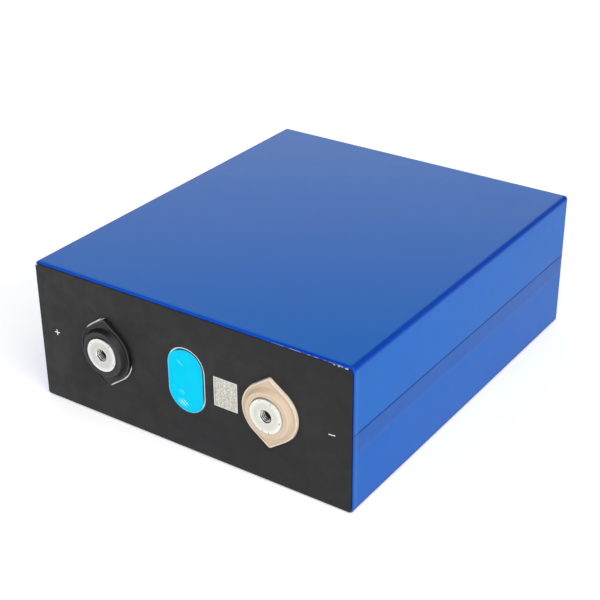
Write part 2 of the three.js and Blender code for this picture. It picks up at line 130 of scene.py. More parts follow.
def rounded_rectangle(width, height, radius, steps=6):
    x = width / 2 - radius
    y = height / 2 - radius
    return np.concatenate(
        [
            arc((x, y), radius, 0, 90, steps),
            arc((-x, y), radius, 90, 180, steps),
            arc((-x, -y), radius, 180, 270, steps),
            arc((x, -y), radius, 270, 360, steps),
        ]
    )


def stadium(width, height, steps=48):
    """An upright oval: two half circles joined by straight sides."""
    y = (height - width) / 2
    return np.concatenate(
        [arc((0, y), width / 2, 0, 180, steps), arc((0, -y), width / 2, 180, 360, steps)]
    )


def circle(radius, steps=128):
    return arc((0, 0), radius, 0, 360, steps)[:-1]


LEAF_RADIUS = 14.2
LEAF_TIP = 17.2
LEAF_TIP_ROUND = 1.2
LEAF_TIP_SHARPEST = 0.4  # the rounding that an inset outline keeps at its points
LEAF_BELLY_STEPS = 44
LEAF_TIP_STEPS = 8
LEAF_SIDE_POINTS = 13


def leaf(inset=0.0):
    """A circle with one rounded point up and one down, joined by tangent lines."""
    radius = LEAF_RADIUS - inset
    point = LEAF_TIP_ROUND - min(inset, LEAF_TIP_ROUND - LEAF_TIP_SHARPEST)
    point_y = LEAF_TIP - inset - point
    side = math.degrees(math.acos((radius - point) / point_y))
    belly = arc((0, 0), radius, side - 90, 90 - side, LEAF_BELLY_STEPS)
    upper = arc((0, point_y), point, 90 - side, 90 + side, LEAF_TIP_STEPS)
    straight = np.linspace(belly[-1], upper[0], LEAF_SIDE_POINTS)[1:-1]
    closing = np.linspace(upper[-1], -belly[0], LEAF_SIDE_POINTS)[1:-1]
    half = np.concatenate([belly, straight, upper, closing])
    return np.concatenate([half, -half])


def circle_like(outline, radius):
    """A circle with as many points, at the same angles, as another outline."""
    return outline * (radius / np.linalg.norm(outline, axis=1))[:, None]


# ---- meshes ---------------------------------------------------------------------------------

SHARP_ANGLE = math.radians(32)
SAME_POINT = 1e-4  # points of a plate closer than this are joined
TONE = "tone"  # a vertex value, in most looks from -1, painted shade in a crevice, to 1, a painted highlight on an edge


def level(outline, z):
    """An outline as a ring of points at one height."""
    return np.column_stack([outline, np.full(len(outline), float(z))])


def loft(name, rings, looped=False, tones=None):
    """A closed skin over rings of equally many points, capped at its ends unless looped.

    A ring's tone is one value, or one for each of its points.
    """
    mesh = bmesh.new()
    tone_layer = mesh.verts.layers.float.new(TONE)
    rows = []
    for index, ring in enumerate(rings):
        row = [mesh.verts.new(point) for point in ring]
        ring_tones = np.broadcast_to(tones[index] if tones else 0.0, len(row))
        for vert, tone in zip(row, ring_tones):
            vert[tone_layer] = float(tone)
        rows.append(row)
    count = len(rows[0])
    pairs = list(zip(rows, rows[1:]))
    if looped:
        pairs.append((rows[-1], rows[0]))
    else:
        mesh.faces.new(rows[0][::-1])
        mesh.faces.new(rows[-1])
    for low, high in pairs:
        for j in range(count):
            k = (j + 1) % count
            mesh.faces.new((low[j], low[k], high[k], high[j]))
    return finish_mesh(name, mesh)


def finish_mesh(name, mesh):
    """Turns a bmesh into an object in the frame, shaded smooth between its sharp edges."""
    bmesh.ops.recalc_face_normals(mesh, faces=mesh.faces)
    for face in mesh.faces:
        face.smooth = True
    for edge in mesh.edges:
        edge.smooth = edge.calc_face_angle(math.pi) < SHARP_ANGLE
    data = bpy.data.meshes.new(name)
    mesh.to_mesh(data)
    mesh.free()
    data.transform(LAY_DOWN)
    piece = bpy.data.objects.new(name, data)
    bpy.context.scene.collection.objects.link(piece)
    return piece


def flat_plate(name, outlines, bottom, top, bevel=0.04):
    """A thin plate with softened edges. The first outline is its edge, the others its holes."""
    curve = bpy.data.curves.new(name, "CURVE")
    curve.dimensions = "2D"
    curve.fill_mode = "BOTH"
    curve.extrude = (top - bottom) / 2 - bevel
    curve.bevel_depth = bevel
    curve.bevel_resolution = 2
    curve.offset = -bevel
    for outline in outlines:
        spline = curve.splines.new("POLY")
        spline.points.add(len(outline) - 1)
        for point, (x, y) in zip(spline.points, outline):
            point.co = (x, y, 0, 1)
        spline.use_cyclic_u = True
    draft = bpy.data.objects.new(name + "_draft", curve)
    data = bpy.data.meshes.new_from_object(draft)
    bpy.data.objects.remove(draft)
    mesh = bmesh.new()
    mesh.from_mesh(data)
    bpy.data.meshes.remove(data)
    bmesh.ops.remove_doubles(mesh, verts=mesh.verts, dist=SAME_POINT)
    bmesh.ops.translate(mesh, verts=mesh.verts, vec=(0, 0, (bottom + top) / 2))
    return finish_mesh(name, mesh)


# ---- material nodes -------------------------------------------------------------------------


def srgb(red, green, blue):
    """A display colour, 0 to 255, as linear values."""
    linear = []
    for value in (red, green, blue):
        c = value / 255
        linear.append(c / 12.92 if c <= 0.04045 else ((c + 0.055) / 1.055) ** 2.4)
    return (*linear, 1.0)


SLANT_X, SLANT_Z = 0.8, -0.6  # the direction in which the vent film's painted highlight streaks run


class Look:
    """A material under construction: its tree, its shader and short names for common nodes."""

    def __init__(self, name, roughness=0.5, metallic=0.0):
        self.material = bpy.data.materials.new(name)
        self.material.use_nodes = True
        self.tree = self.material.node_tree
        self.shader = self.tree.nodes["Principled BSDF"]
        self.shader.inputs["Metallic"].default_value = metallic
        self.shader.inputs["Roughness"].default_value = roughness
        self.place = self.node("ShaderNodeTexCoord").outputs["Object"]

    def node(self, kind, **settings):
        made = self.tree.nodes.new(kind)
        for key, value in settings.items():
            setattr(made, key, value)
        return made

    def feed(self, node, **values):
        """Sets or links a node's inputs by name, with underscores for spaces."""
        for key, value in values.items():
            socket = node.inputs[key.replace("_", " ")]
            if isinstance(value, bpy.types.NodeSocket):
                self.tree.links.new(value, socket)
            else:
                socket.default_value = value
        return node

    def noise(self, size, detail=2.0, stretch=(1, 1, 1), rough=0.5):
        """Noise from 0 to 1 with features about size millimetres across, longer along stretch."""
        spread = self.feed(
            self.node("ShaderNodeMapping"),
            Vector=self.place,
            Scale=tuple(1 / (size * MM * s) for s in stretch),
        )
        made = self.feed(
            self.node("ShaderNodeTexNoise"),
            Vector=spread.outputs[0],
            Scale=1.0,
            Detail=detail,
            Roughness=rough,
        )
        return made.outputs["Fac"]

    def span(self, value, low, high, to_low=0.0, to_high=1.0):
        """A value mapped smoothly from one range to another, and held at its ends."""
        made = self.node("ShaderNodeMapRange", interpolation_type="SMOOTHSTEP")
        self.feed(made, Value=value, From_Min=low, From_Max=high, To_Min=to_low, To_Max=to_high)
        return made.outputs[0]

    def math(self, operation, first, second=0.0):
        made = self.node("ShaderNodeMath", operation=operation)
        for socket, value in zip(made.inputs, (first, second)):
            if isinstance(value, bpy.types.NodeSocket):
                self.tree.links.new(value, socket)
            else:
                socket.default_value = value
        return made.outputs[0]

    def both(self, first, *others):
        """The product of masks, so 1 only where each of them is 1."""
        for other in others:
            first = self.math("MULTIPLY", first, other)
        return first

    def without(self, mask):
        return self.math("SUBTRACT", 1.0, mask)

    def rise(self, value, start, end):
        """0 up to start and 1 from end on, in millimetres."""
        return self.span(value, start * MM, end * MM)

    def fall(self, value, start, end):
        """1 up to start and 0 from end on, in millimetres."""
        return self.span(value, start * MM, end * MM, 1.0, 0.0)

    def away(self, value, centre):
        """The distance either way from a place on one axis."""
        return self.math("ABSOLUTE", self.math("SUBTRACT", value, centre))

    def mix(self, amount, first, second):
        made = self.node("ShaderNodeMix", data_type="RGBA")
        sockets = [s for s in made.inputs if s.enabled]
        for socket, value in zip(sockets, (amount, first, second)):
            if isinstance(value, bpy.types.NodeSocket):
                self.tree.links.new(value, socket)
            else:
                socket.default_value = value
        return next(s for s in made.outputs if s.enabled)

    def tint(self, base, mask, strength, colour):
        """A colour laid over the base where mask is 1, as strongly as strength."""
        return self.mix(self.math("MULTIPLY", mask, strength), base, colour)

    def axes(self):
        """The place's x, y and z, in metres."""
        return self.feed(self.node("ShaderNodeSeparateXYZ"), Vector=self.place).outputs

    def tone(self):
        return self.node("ShaderNodeAttribute", attribute_name=TONE).outputs["Fac"]

    def crease(self, across, up, length, width):
        """1 along a short slanting line on the terminal face, fading to 0 at its edges."""
        x, _, z = self.axes()[:3]
        x = self.math("SUBTRACT", x, across * MM)
        z = self.math("SUBTRACT", z, frame_z(up))
        along = self.math("ADD", self.both(x, SLANT_X), self.both(z, SLANT_Z))
        aside = self.math("SUBTRACT", self.both(x, SLANT_Z), self.both(z, SLANT_X))
        along = self.math("DIVIDE", along, length * MM)
        aside = self.math("DIVIDE", aside, width * MM)
        squared = self.math("ADD", self.math("POWER", along, 2.0), self.math("POWER", aside, 2.0))
        return self.span(squared, 0.1, 1.0, 1.0, 0.0)

    def bump(self, height, depth, strength=1.0, after=None):
        """Bump from a height of 0 to 1 that is depth millimetres deep."""
        made = self.feed(
            self.node("ShaderNodeBump"), Height=height, Distance=depth * MM, Strength=strength
        )
        if after is not None:
            self.feed(made, Normal=after)
        return made.outputs[0]

    def finish(self, **inputs):
        self.feed(self.shader, **inputs)
        return self.material


# ---- materials ------------------------------------------------------------------------------


def film_sides(look, blue, y, z, on_side):
    """Shades the narrow sides: the overlap, the film below it, its cut line and the hem."""
    above = look.span(z, frame_z(SEAM_LOW - 0.8), frame_z(SEAM_LOW + 0.8))
    below = look.span(z, frame_z(SEAM_HIGH), frame_z(SEAM_HIGH + 0.1), 1.0, 0.0)
    overlap = look.both(above, below, on_side)
    single = look.both(look.without(above), on_side)
    line = look.span(z, frame_z(SEAM_HIGH - 0.55), frame_z(SEAM_HIGH - 0.45))
    line = look.both(line, below, on_side)
    # The film's folded hem stands a little proud behind the lip and looks greyer.
    hem_start = look.span(y, LIP_Y + 0.5 * MM, LIP_Y + 0.9 * MM)
    hem_end = look.span(y, LIP_Y + 2.5 * MM, LIP_Y + 3 * MM, 1.0, 0.0)
    hem = look.both(hem_start, hem_end, on_side)
    blue = look.tint(blue, overlap, 0.5, srgb(36, 78, 160))
    blue = look.tint(blue, single, 0.3, srgb(0, 82, 178))
    blue = look.tint(blue, line, 0.9, srgb(0, 26, 92))
    return look.tint(blue, hem, 0.22, srgb(84, 124, 186))


def film_edges(look, blue, across, lip, near_side, near_face):
    """Deepens the long edges and the lip with painted shade, for the dark surroundings that they
    reflect.
    """
    lip_wide = look.both(lip, near_face)
    lip_narrow = look.both(lip, look.without(near_face))
    blue = look.tint(blue, look.both(near_side, near_face), 0.85, srgb(0, 59, 166))
    blue = look.tint(blue, lip_wide, 0.85, srgb(0, 76, 200))
    blue = look.tint(blue, lip_narrow, 0.8, srgb(0, 84, 196))
    # Beside the top sheet the narrow sides' lip is in shadow.
    shadow = look.fall(across, SHEET_HIGH.x + 0.26, SHEET_HIGH.x + 0.34)
    return look.tint(blue, look.both(shadow, lip_narrow), 0.9, srgb(2, 8, 58))


def lip_glint(look, blue, x, z, lip, near_face):
    """Paints a highlight on part of the upper lip beside the top sheet, in a broken pale line,
    over a strip of painted shade.
    """
    beside_sheet = look.span(
        z, frame_z(SHEET_HIGH.y + 0.26), frame_z(SHEET_HIGH.y + 0.34), 1.0, 0.0
    )
    upper = look.span(z, MIDDLE, MIDDLE + MM)
    lit_part = look.both(look.rise(x, 40, 56), look.fall(x, 84, 84.3))
    broken = look.span(look.noise(1.6, detail=2), 0.42, 0.54, 0.15, 1.0)
    # Painted shade deepens the lip along its lit part, and a painted highlight runs beside the
    # sheet.
    blue = look.tint(blue, look.both(lip, near_face, lit_part), 0.5, srgb(0, 38, 170))
    glint = look.both(beside_sheet, upper, lip, lit_part, broken)
    return look.tint(blue, glint, 0.85, srgb(196, 222, 255))


def blue_film():
    """Satin-gloss polyester film, a little greyer where two layers lie on each other."""
    look = Look("blue_film")
    x, y, z = look.axes()[:3]
    across = look.math("ABSOLUTE", x)
    through = look.away(z, MIDDLE)
    on_side = look.rise(across, WIDTH / 2 - 0.4, WIDTH / 2 - 0.2)
    near_side = look.rise(across, WIDTH / 2 - 2.5, WIDTH / 2 - 2.0)
    near_face = look.rise(through, THICKNESS / 2 - 2.5, THICKNESS / 2 - 2.0)
    lip = look.span(y, LIP_Y, LIP_Y + 0.4 * MM, 1.0, 0.0)
    blue = look.mix(look.noise(45), srgb(0, 96, 186), srgb(0, 101, 192))
    cloudy = look.span(look.noise(9, detail=4), 0.45, 0.8, 0.0, 0.08)
    blue = look.mix(cloudy, blue, srgb(14, 102, 184))
    blue = film_sides(look, blue, y, z, on_side)
    blue = film_edges(look, blue, across, lip, near_side, near_face)
    blue = lip_glint(look, blue, x, z, lip, near_face)
    # Painted contact shadow at the film's foot. It goes by height alone, so it darkens the whole
    # face underneath as well.
    painted_foot_shadow = look.span(z, 0.3 * MM, 1.3 * MM, 0.85, 0.0)
    blue = look.mix(painted_foot_shadow, blue, srgb(4, 18, 56))
    uncut = look.without(look.math("ABSOLUTE", look.tone()))
    cut_edge = look.span(uncut, 0.4, 0.9, 1.0, 0.0)
    blue = look.tint(blue, cut_edge, 0.75, srgb(6, 26, 84))
    speck = look.span(look.noise(0.9, detail=1), 0.80, 0.84)
    blue = look.tint(blue, speck, 0.5, srgb(150, 176, 214))
    rough = look.span(look.noise(6, detail=4), 0.3, 0.7, 0.29, 0.34)
    peel = look.bump(look.noise(1.6, detail=3), 0.002)
    return look.finish(Base_Color=blue, Roughness=rough, Normal=peel, Specular_IOR_Level=0.1)


FLECKS_UP = SHEET_HIGH.y - 0.32  # how high up the sheet its margin of pale flecks starts


def black_sheet():
    """Fine matt black sheet with a light grain and a few rubbed marks."""
    look = Look("black_sheet")
    x, _, z = look.axes()[:3]
    grain = look.noise(0.25, detail=2)
    base = look.mix(grain, srgb(27, 27, 29), srgb(34, 34, 36))
    rubbed = look.span(look.noise(22, detail=5, rough=0.6), 0.5, 0.8, 0.0, 0.3)
    base = look.mix(rubbed, base, srgb(46, 46, 48))
    # Pale flecks along the upper edge by the negative corner, and a pale speck at the positive
    # one.
    pale_flecks = look.both(
        look.span(look.noise(1.3, detail=2), 0.44, 0.52),
        look.rise(x, 76, 78),
        look.fall(x, 84, 84.3),
        look.span(z, frame_z(FLECKS_UP), frame_z(FLECKS_UP + 0.05)),
    )
    speck = look.both(
        look.fall(x, SHEET_LOW.x + 0.7, SHEET_LOW.x + 1.5),
        look.span(z, frame_z(FLECKS_UP - 0.8), frame_z(FLECKS_UP - 0.4)),
    )
    base = look.tint(base, look.math("MAXIMUM", pale_flecks, speck), 0.95, srgb(222, 228, 242))
    # Painted highlight: where the tone is above 0 the sheet's cut edge is painted white, for the
    # lit metal seen in the gap.
    painted_gap_highlight = look.math("MAXIMUM", look.tone(), 0.0)
    base = look.mix(painted_gap_highlight, base, srgb(255, 255, 252))
    rough = look.span(look.noise(6, detail=3), 0.3, 0.7, 0.5, 0.62)
    fine = look.bump(grain, 0.02)
    return look.finish(Base_Color=base, Roughness=rough, Normal=fine, Specular_IOR_Level=0.3)


# Painted highlights on the vent film, streaks for light caught in creases, the last one a soft
# patch: place across and up from the terminals' line, length, width and brightness.
VENT_HIGHLIGHTS = (
    (-3.8, 7.6, 2.4, 0.26, 0.5),
    (-1.4, -11.9, 2.8, 0.3, 1.0),
    (-2.8, -12.6, 3.2, 0.38, 1.0),
    (-4.0, -13.2, 2.4, 0.3, 0.8),
    (-3.2, -7.2, 1.8, 1.4, 0.14),
)


def cyan_film():
    """Glossy cyan film, drawn tight over the vent, with a border painted as lit bare metal and a
    line of painted shade inside it.
    """
    look = Look("cyan_film")
    base = look.mix(look.noise(8), srgb(0, 206, 250), srgb(0, 220, 255))
    # Painted shade: a dark line inside the border, where the tone is below 0.
    shaded = look.span(look.tone(), -1.0, 0.0, 0.95, 0.0)
    base = look.mix(shaded, base, srgb(0, 44, 78))
    # The border painted as bare metal, with a painted highlight where the tone is high.
    painted_highlight = look.span(look.tone(), 0.3, 0.9, 0.0, 0.95)
    base = look.mix(painted_highlight, base, srgb(250, 250, 252))
    # Painted highlights: pale streaks for light caught in creases of the film.
    for across, up, length, width, brightness in VENT_HIGHLIGHTS:
        crease = look.crease(across, FACE_Y + up, length, width)
        base = look.tint(base, crease, brightness, srgb(176, 254, 255))
    rough = look.span(look.noise(1.5, detail=3), 0.3, 0.7, 0.12, 0.22)
    ripple = look.bump(look.noise(4, detail=2), 0.08)
    return look.finish(Base_Color=base, Roughness=rough, Normal=ripple, Specular_IOR_Level=0.04)


PATCH_CELL = 0.46  # the width of one printed cell
PATCH_BORDER = 0.5
BORDER_SOFTNESS = 0.1


def printed_patch():
    """A silver-white patch printed with a random scatter of grey cells that holds no message."""
    look = Look("printed_patch")
    x, _, z = look.axes()[:3]
    cells = look.feed(look.node("ShaderNodeVectorMath", operation="SNAP"), Vector=look.place)
    cells.inputs[1].default_value = (PATCH_CELL * MM, 1.0, PATCH_CELL * MM)
    scatter = look.feed(
        look.node("ShaderNodeTexWhiteNoise", noise_dimensions="3D"), Vector=cells.outputs[0]
    )
    printed = look.span(scatter.outputs["Value"], 0.54, 0.56, 0.0, 0.6)
    base = look.mix(printed, srgb(230, 229, 220), srgb(140, 140, 132))
    lines = look.noise(0.6, detail=2, stretch=(1, 1, 14))
    base = look.mix(look.span(lines, 0.4, 0.6, 0.0, 0.4), base, srgb(170, 169, 160))
    smear = look.span(look.noise(5, detail=3), 0.35, 0.7, 0.0, 0.35)
    base = look.mix(smear, base, srgb(216, 204, 194))
    centre = (PATCH_LOW + PATCH_HIGH) / 2
    reach = (PATCH_HIGH - PATCH_LOW) / 2 - Vector((PATCH_BORDER, PATCH_BORDER, 0))
    from_side = look.away(x, centre.x * MM)
    from_end = look.away(z, frame_z(centre.y))
    border = look.math(
        "MAXIMUM",
        look.rise(from_side, reach.x, reach.x + BORDER_SOFTNESS),
        look.rise(from_end, reach.y, reach.y + BORDER_SOFTNESS),
    )
    base = look.tint(base, border, 0.8, srgb(236, 236, 230))
    bumps = look.bump(scatter.outputs["Value"], 0.01)
    return look.finish(Base_Color=base, Roughness=0.5, Normal=bumps)


def white_ink():
    look = Look("white_ink")
    base = look.mix(look.noise(0.4, detail=3), srgb(236, 236, 236), srgb(254, 254, 254))
    return look.finish(Base_Color=base, Roughness=0.5, Normal=look.bump(look.noise(0.2), 0.01))


TURNED_COLOURS = {
    "positive": (srgb(196, 196, 190), srgb(216, 216, 210)),
    "negative": (srgb(212, 210, 201), srgb(228, 226, 217)),
}


def turned_aluminium(name, x):
    """Aluminium turned about a terminal's own axis: fine rings, nicked edges with painted
    highlights, and painted shade in its hole.
    """
    look = Look(f"turned_aluminium_{name}", metallic=1.0)
    centred = look.feed(
        look.node("ShaderNodeMapping"), Vector=look.place, Location=(-x * MM, 0, -frame_z(FACE_Y))
    )
    wave = look.node("ShaderNodeTexWave", wave_type="RINGS", rings_direction="Y")
    look.feed(
        wave,
        Vector=centred.outputs[0],
        Scale=1400.0,
        Distortion=1.2,
        Detail=2.0,
        Detail_Scale=0.4,
    )
    dull, clean = TURNED_COLOURS[name]
    base = look.mix(look.noise(2.5, detail=4), dull, clean)
    # Painted shade where the tone is below 0, in the thread's roots and deep in the hole, and a
    # painted highlight on edges where it is above.
    painted_shade = look.span(look.tone(), -1.0, 0.0, 0.9, 0.0)
    base = look.mix(painted_shade, base, srgb(14, 14, 14))
    glint = look.span(look.tone(), 0.0, 1.0, 0.0, 0.9)
    base = look.mix(glint, base, srgb(255, 255, 255))
    nicks = look.both(
        look.span(look.noise(1.5, detail=2), 0.6, 0.68), look.span(look.tone(), 0.36, 0.5)
    )
    base = look.tint(base, nicks, 0.7, srgb(84, 82, 78))
    rough = look.span(look.noise(1.2, detail=3), 0.3, 0.7, 0.32, 0.46)
    rings = look.bump(wave.outputs["Fac"], 0.004)
    dents = look.bump(look.noise(0.8, detail=3), 0.012, after=rings)
    return look.finish(Base_Color=base, Roughness=rough, Normal=dents)


def sheet_metal(name, dark, light, grain=(1, 20, 1)):
    """Plain rolled metal with long fine scratches."""
    look = Look(name, metallic=1.0)
    streaks = look.noise(0.5, detail=4, stretch=grain)
    base = look.mix(streaks, dark, light)
    stain = look.span(look.noise(12, detail=4), 0.5, 0.8, 0.0, 0.3)
    base = look.mix(stain, base, dark)
    rough = look.span(streaks, 0.3, 0.7, 0.3, 0.45)
    return look.finish(Base_Color=base, Roughness=rough, Normal=look.bump(streaks, 0.006))


def moulded(name, base_colour, shadow, edge, grain=0.012):
    """Moulded plastic: a fine spark texture, with painted highlights on thin edges and painted
    shade in its corners.
    """
    look = Look(name)
    pale = look.span(look.tone(), 0.0, 1.0, 0.0, 0.9)
    deep = look.span(look.tone(), -1.0, 0.0, 0.9, 0.0)
    base = look.mix(look.noise(7, detail=3), base_colour, look.mix(0.16, base_colour, edge))
    base = look.mix(pale, base, edge)
    base = look.mix(deep, base, shadow)
    rough = look.span(look.noise(2, detail=3), 0.3, 0.7, 0.38, 0.5)
    texture = look.noise(0.18, detail=2)
    return look.finish(
        Base_Color=base,
        Roughness=rough,
        Normal=look.bump(texture, grain),
        Specular_IOR_Level=0.3,
    )


def clear_film():
    look = Look("clear_film", roughness=0.3)
    base = look.mix(look.noise(18, detail=3), srgb(206, 216, 220), srgb(226, 232, 234))
    crease = look.bump(look.noise(6, detail=3, stretch=(1, 3, 1)), 0.15)
    return look.finish(Base_Color=base, Alpha=0.5, Normal=crease)


def seal_rubber():
    look = Look("seal_rubber")
    base = look.mix(look.noise(1, detail=3), srgb(30, 30, 34), srgb(48, 48, 52))
    rough = look.span(look.noise(0.6), 0.3, 0.7, 0.65, 0.85)
    return look.finish(Base_Color=base, Roughness=rough, Normal=look.bump(look.noise(0.3), 0.02))


def wound_core():
    """Separator film over dark electrode: pale grey-white, with the winding's faint lines."""
    look = Look("wound_core")
    lines = look.noise(0.8, detail=3, stretch=(1, 60, 1))
    base = look.mix(lines, srgb(96, 98, 102), srgb(150, 152, 154))
    rough = look.span(look.noise(5), 0.3, 0.7, 0.5, 0.7)
    return look.finish(Base_Color=base, Roughness=rough, Normal=look.bump(lines, 0.05))


def green_tape():
    look = Look("green_tape")
    base = look.mix(look.noise(6, detail=3), srgb(34, 128, 92), srgb(56, 154, 116))
    rough = look.span(look.noise(2), 0.3, 0.7, 0.3, 0.45)
    return look.finish(Base_Color=base, Roughness=rough, Normal=look.bump(look.noise(1), 0.02))


LOOKS = {
    "blue_film": blue_film(),
    "clear_film": clear_film(),
    "black_sheet": black_sheet(),
    "cyan_film": cyan_film(),
    "label": printed_patch(),
    "aluminium": sheet_metal("aluminium", srgb(176, 178, 180), srgb(220, 221, 222)),
    "copper": sheet_metal("copper", srgb(168, 92, 60), srgb(214, 138, 100)),
    "black_plastic": moulded("black_plastic", srgb(31, 31, 32), srgb(7, 7, 8), srgb(84, 84, 83)),
    "tan_plastic": moulded(
        "tan_plastic", srgb(221, 199, 173), srgb(205, 179, 152), srgb(240, 226, 210)
    ),
    "white_plastic": moulded(
        "white_plastic", srgb(226, 226, 220), srgb(168, 168, 160), srgb(244, 244, 242)
    ),
    "rubber": seal_rubber(),
    "electrode": wound_core(),
    "green_tape": green_tape(),
}
TURNED = {
    "positive": turned_aluminium("positive", -TERMINAL_X),
    "negative": turned_aluminium("negative", TERMINAL_X),
}


def fit(piece, slot, nodes=(), material=None):
    """Gives a piece its finish and its place in the frame, and hides the CAD nodes it stands for.
    """
    piece.data.materials.clear()
    piece.data.materials.append(material or LOOKS[slot])
    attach(piece, "root")
    if nodes:
        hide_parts(*nodes)
    return piece


# ---- wrap film ------------------------------------------------------------------------------

WAVE = 0.07  # how far the film stands slack from its tightest
BROAD_WAVE = (38, 38, 52)  # the slack's longer and shorter waves, along x, y and z
FINE_WAVE = (11, 11, 15)
FINE_SHIFT = 40
GUSSET = 0.04  # how far the folded corner under the side flaps shows through
GUSSET_FADE = 2.5
NARROW_PLACES = 76
WIDE_PLACES = 88
SEAM_DROP = 0.05  # the cut edge drops over this distance each way
SEAM_REACH = 0.3  # how far to each side the places round it are given one by one
SEAM_SOFT = 0.7  # the same for the overlap's hidden edge, which shows only as a soft step
SEAM_WANDER = 0.18  # how far the cut edge strays, over lengths of about SEAM_WANDER_LENGTH
SEAM_WANDER_LENGTH = 24
SEAM_WANDER_SEED = 7
TAUT_TOP = 5  # how far from each end of the wall the film starts to be drawn tight
TAUT_BOTTOM = 3
WALL_RINGS = 104
INNER_SKIP = 8  # the film's hidden inner face has one ring for this many outer ones
BEND_STEPS = 6


def film_stations():
    """Places round the wrap: each one's anchor on a shrunken rectangle, and its outward normal."""
    x = WIDTH / 2 - EDGE_RADIUS
    y = THICKNESS / 2 - EDGE_RADIUS
    narrow = np.linspace(-y, y, NARROW_PLACES)
    narrow = narrow[np.abs(narrow - SEAM_HIGH) > SEAM_REACH]
    step = SEAM_HIGH + np.array([-SEAM_REACH, -SEAM_DROP, SEAM_DROP, SEAM_REACH])
    narrow = np.sort(np.concatenate([narrow, step]))
    wide = np.linspace(-x, x, WIDE_PLACES)
    stations = [((x, v), (1, 0)) for v in narrow]
    stations += corner_stations(x, y, 0)
    stations += [((u, y), (0, 1)) for u in wide[::-1]]
    stations += corner_stations(-x, y, 90)
    stations += [((-x, v), (-1, 0)) for v in narrow[::-1]]
    stations += corner_stations(-x, -y, 180)
    stations += [((u, -y), (0, -1)) for u in wide]
    stations += corner_stations(x, -y, 270)
    return stations


def corner_stations(x, y, start, steps=10):
    """The places inside one rounded edge, without the ends that the flats already hold."""
    normals = arc((0, 0), 1, start, start + 90, steps)[1:-1]
    return [((x, y), tuple(normal)) for normal in normals]


def smooth(value, low, high):
    t = min(max((value - low) / (high - low), 0.0), 1.0)
    return t * t * (3 - 2 * t)


def seam_rise(y):
    """How far the overlap stands out at a place on a narrow side: soft below, cut above."""
    hidden = smooth(y, SEAM_LOW - SEAM_SOFT, SEAM_LOW + SEAM_SOFT)
    return SEAM_PROUD * hidden * (1.0 if y < SEAM_HIGH else 0.0)


def wave_at(x, y, z, lengths, shift=0):
    return noise.noise(Vector((x / lengths[0], y / lengths[1], z / lengths[2] + shift)))


def slack(x, y, z):
    """How far the film lies inside its tightest shape, gentle and uneven."""
    broad = wave_at(x, y, z, BROAD_WAVE)
    fine = wave_at(x, y, z, FINE_WAVE, FINE_SHIFT)
    return WAVE * (0.5 + 0.4 * broad + 0.1 * fine)


def film_ring(stations, inset, z, tight):
    """One ring of the wrap at a height. tight runs from 0, free to wave, to 1, held taut."""
    ring = []
    for (anchor_x, anchor_y), (nx, ny) in stations:
        out = EDGE_RADIUS - inset
        y = anchor_y
        if nx in (1, -1):
            rise = seam_rise(anchor_y)
            crease = abs(abs(anchor_y) + z - THICKNESS / 2)
            folded = GUSSET * (1 - smooth(crease, 0.0, GUSSET_FADE)) if z < THICKNESS / 2 else 0.0
            out += (rise + folded * (1 - rise / SEAM_PROUD)) * (1 - tight)
            if abs(anchor_y - SEAM_HIGH) < SEAM_REACH + SEAM_DROP:
                seed = nx * SEAM_WANDER_SEED
                y += SEAM_WANDER * noise.noise(Vector((seed, 0, z / SEAM_WANDER_LENGTH)))
        out -= (1 - tight) * slack(anchor_x, y, z)
        ring.append((anchor_x + nx * out, y + ny * out, z))
    return np.array(ring)


def wrap_film():
    stations = film_stations()
    wall_low = BOTTOM_RADIUS
    wall_high = FILM_TOP - LIP_RADIUS
    heights = np.linspace(wall_low, wall_high, WALL_RINGS)
    rings = []
    tones = []

    def bend(centre_inset, centre_z, radius, start, end):
        for inset, z in arc((0, 0), radius, start, end, BEND_STEPS):
            rings.append(film_ring(stations, centre_inset - inset, centre_z + z, 1.0))
            tones.append(0.0)

    def wall(inset, levels):
        for z in levels:
            near_top = smooth(z, wall_high - TAUT_TOP, wall_high)
            near_bottom = 1 - smooth(z, wall_low, wall_low + TAUT_BOTTOM)
            rings.append(film_ring(stations, inset, z, max(near_top, near_bottom)))
            tones.append(0.0)

    bend(BOTTOM_RADIUS, BOTTOM_RADIUS, BOTTOM_RADIUS, 270, 360)
    wall(0, heights[1:-1])
    bend(LIP_RADIUS, wall_high, LIP_RADIUS, 0, 90)
    for z in (FILM_TOP, FILM_TOP - FILM):
        rings.append(film_ring(stations, LIP, z, 1.0))
        tones.append(1.0)
    bend(LIP_RADIUS, wall_high, LIP_RADIUS - FILM, 90, 0)
    wall(FILM, heights[-2:0:-INNER_SKIP])
    bend(BOTTOM_RADIUS, BOTTOM_RADIUS, BOTTOM_RADIUS - FILM, 360, 270)
    fit(loft("wrap_film_skin", rings, tones=tones), "blue_film", ["wrap_film"])


# ---- top sheet, patch and signs -------------------------------------------------------------

LEAF_CLEARANCE = 0.3
POSITIVE_LEAF_CLEARANCE = 0.45
VENT_CUTOUT = (20.9, 33.0)
VENT_CUTOUT_PLACE = (0.15, FACE_Y + 0.2)
SHEET_ROUND = 1.0  # corner radii of the sheet, of its window and of the patch in it
WINDOW_ROUND = 0.3
PATCH_ROUND = 0.2
WINDOW_GAP = 0.1
INK = 0.04  # the printed signs' thickness

EDGE_RING_INSIDE = 0.15  # how far the edge ring, painted with a highlight, reaches into the cut-out, and out over the sheet
EDGE_RING_OUTSIDE = 0.28
EDGE_RING_DEPTH = 0.3
EDGE_RING_CHAMFER = 0.03
EDGE_RING_TAPER = 1.003
HIGHLIGHT_ARCS = ((119, 24), (-50, 40))  # where the edge ring has its painted highlight: middle and half length, degrees
HIGHLIGHT_FADE = 8

